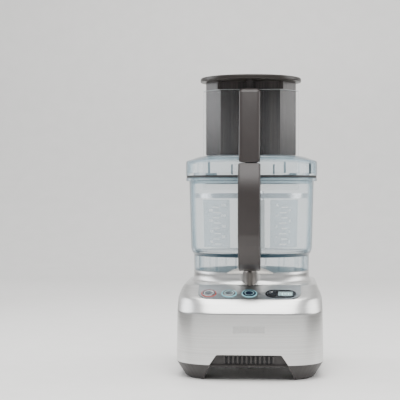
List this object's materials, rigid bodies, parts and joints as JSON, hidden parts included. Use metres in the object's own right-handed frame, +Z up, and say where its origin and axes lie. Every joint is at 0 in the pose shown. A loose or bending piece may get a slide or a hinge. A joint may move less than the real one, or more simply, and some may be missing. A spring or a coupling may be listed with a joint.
{
  "type": "food processor",
  "caption": "Countertop food processor: motor base with sloping control panel, clear bowl with D handle, clear lid with wide feed chute, nested pushers and slicing disc.",
  "frame": {"origin": "on the bench, at the centre of the machine's bounding box", "axes": "+Z up, -Y towards the user, +X to the user's right; the bowl's axis is parallel to Z, 17 mm behind the origin"},
  "size_m": [0.209, 0.266, 0.428],
  "materials": {
    "brushed_silver": "brushed, satin clear coat",
    "panel_satin": "fine satin, a shade darker than the housing",
    "dark_plastic": "warm charcoal, fine moulded texture",
    "clear_plastic": "clear, faintly blue, polished",
    "steel": "plain machined",
    "button_steel": "spun brushed face",
    "rubber": "matt black",
    "red_ring": "translucent, lit",
    "cyan_ring": "translucent, lit",
    "black_gloss": "polished",
    "display_glass": "clear, polished",
    "display_panel": "backlit blue-green",
    "board_green": "solder mask",
    "black_plastic": "moulded",
    "motor_iron": "stacked sheets, varnished",
    "copper": "enamelled wire",
    "cast_alloy": "die cast",
    "pale_plastic": "moulded",
    "disc_steel": "stainless sheet, satin",
    "bronze": "sintered"
  },
  "bodies": {
    "base": {"base_housing": "brushed_silver", "base_pan": "dark_plastic", "rubber_feet": "rubber", "pan_screws": "steel", "badge_plate": "brushed_silver", "control_panel": "panel_satin", "off_button_ring": "red_ring", "start_button_ring": "cyan_ring", "pulse_button_ring": "cyan_ring", "display_bezel": "black_gloss", "display_window": "display_glass", "display_module": "display_panel", "control_board": "board_green", "tactile_switches": "black_plastic", "motor_stator": "motor_iron", "motor_windings": "copper", "motor_end_bell_top": "cast_alloy", "motor_end_bell_bottom": "cast_alloy", "motor_bolts": "steel", "motor_mounts": "rubber", "upper_bearing": "steel", "lower_bearing": "steel", "shaft_seal": "rubber", "run_capacitor": "pale_plastic", "interlock_switch": "black_plastic", "cord_gland": "rubber"},
    "rotor": {"motor_rotor": "motor_iron", "motor_shaft": "steel", "cooling_fan": "pale_plastic", "drive_coupling": "steel"},
    "off_button": {"off_button": "button_steel"},
    "start_button": {"start_button": "button_steel"},
    "pulse_button": {"pulse_button": "button_steel"},
    "timer_rocker": {"timer_rocker": "black_gloss"},
    "interlock_plunger": {"interlock_plunger": "steel"},
    "bowl": {"bowl": "clear_plastic", "bowl_handle": "dark_plastic", "handle_cover": "dark_plastic", "handle_screws": "steel"},
    "handle_rod": {"handle_rod": "steel"},
    "spindle": {"disc_spindle": "pale_plastic", "slicing_disc": "disc_steel", "slicer_blade": "steel"},
    "lid_seal": {"lid_seal": "rubber"},
    "lid": {"lid": "clear_plastic", "lid_bush": "bronze", "latch_cover": "dark_plastic", "interlock_spring": "steel"},
    "interlock_rod": {"interlock_rod": "steel"},
    "pusher": {"pusher": "dark_plastic", "pusher_cap": "dark_plastic"},
    "small_pusher": {"small_pusher": "dark_plastic", "small_pusher_cap": "dark_plastic"}
  },
  "joints": [
    {"name": "motor_spin", "type": "hinge", "parent": "base", "child": "rotor", "pos_m": [0, 0.017, 0.05], "axis": [0, 0, 1], "continuous": true},
    {"name": "off_press", "type": "slide", "parent": "base", "child": "off_button", "axis": [0, 0.3955, -0.9184], "range_m": [0, 0.001], "stiffness_N_per_m": 600, "springref_m": -0.001},
    {"name": "start_press", "type": "slide", "parent": "base", "child": "start_button", "axis": [0, 0.3955, -0.9184], "range_m": [0, 0.001], "stiffness_N_per_m": 600, "springref_m": -0.001},
    {"name": "pulse_press", "type": "slide", "parent": "base", "child": "pulse_button", "axis": [0, 0.3955, -0.9184], "range_m": [0, 0.001], "stiffness_N_per_m": 600, "springref_m": -0.001},
    {"name": "timer_rock", "type": "hinge", "parent": "base", "child": "timer_rocker", "pos_m": [0.0315, -0.10112, 0.1184], "axis": [1, 0, 0], "range_deg": [-4, 4], "stiffness_Nm_per_rad": 0.05},
    {"name": "bowl_lift", "type": "slide", "parent": "base", "child": "bowl", "axis": [0, 0, 1], "range_m": [0, 0.1]},
    {"name": "plunger_slide", "type": "slide", "parent": "base", "child": "interlock_plunger", "axis": [0, 0, 1], "range_m": [0, 0.004]},
    {"name": "handle_rod_slide", "type": "slide", "parent": "bowl", "child": "handle_rod", "axis": [0, 0, 1], "range_m": [0, 0.004]},
    {"name": "spindle_spin", "type": "hinge", "parent": "bowl", "child": "spindle", "pos_m": [0, 0.017, 0.05], "axis": [0, 0, 1], "continuous": true},
    {"name": "lid_lift", "type": "slide", "parent": "bowl", "child": "lid_seal", "axis": [0, 0, 1], "range_m": [0, 0.08]},
    {"name": "lid_twist", "type": "hinge", "parent": "lid_seal", "child": "lid", "pos_m": [0, 0.017, 0.29], "axis": [0, 0, 1], "range_deg": [0, 30]},
    {"name": "latch_rod_slide", "type": "slide", "parent": "lid", "child": "interlock_rod", "axis": [0, 0, 1], "range_m": [0, 0.004], "deforming": ["interlock_spring"]},
    {"name": "pusher_slide", "type": "slide", "parent": "lid", "child": "pusher", "axis": [0, 0, 1], "range_m": [0, 0.11]},
    {"name": "small_pusher_slide", "type": "slide", "parent": "pusher", "child": "small_pusher", "axis": [0, 0, 1], "range_m": [0, 0.12]}
  ],
  "couplings": [
    {"joint": "spindle_spin", "follows": "motor_spin", "ratio": 1},
    {"joint": "plunger_slide", "follows": "pusher_slide", "ratio": 0.036},
    {"joint": "handle_rod_slide", "follows": "pusher_slide", "ratio": 0.036},
    {"joint": "latch_rod_slide", "follows": "pusher_slide", "ratio": 0.036}
  ]
}
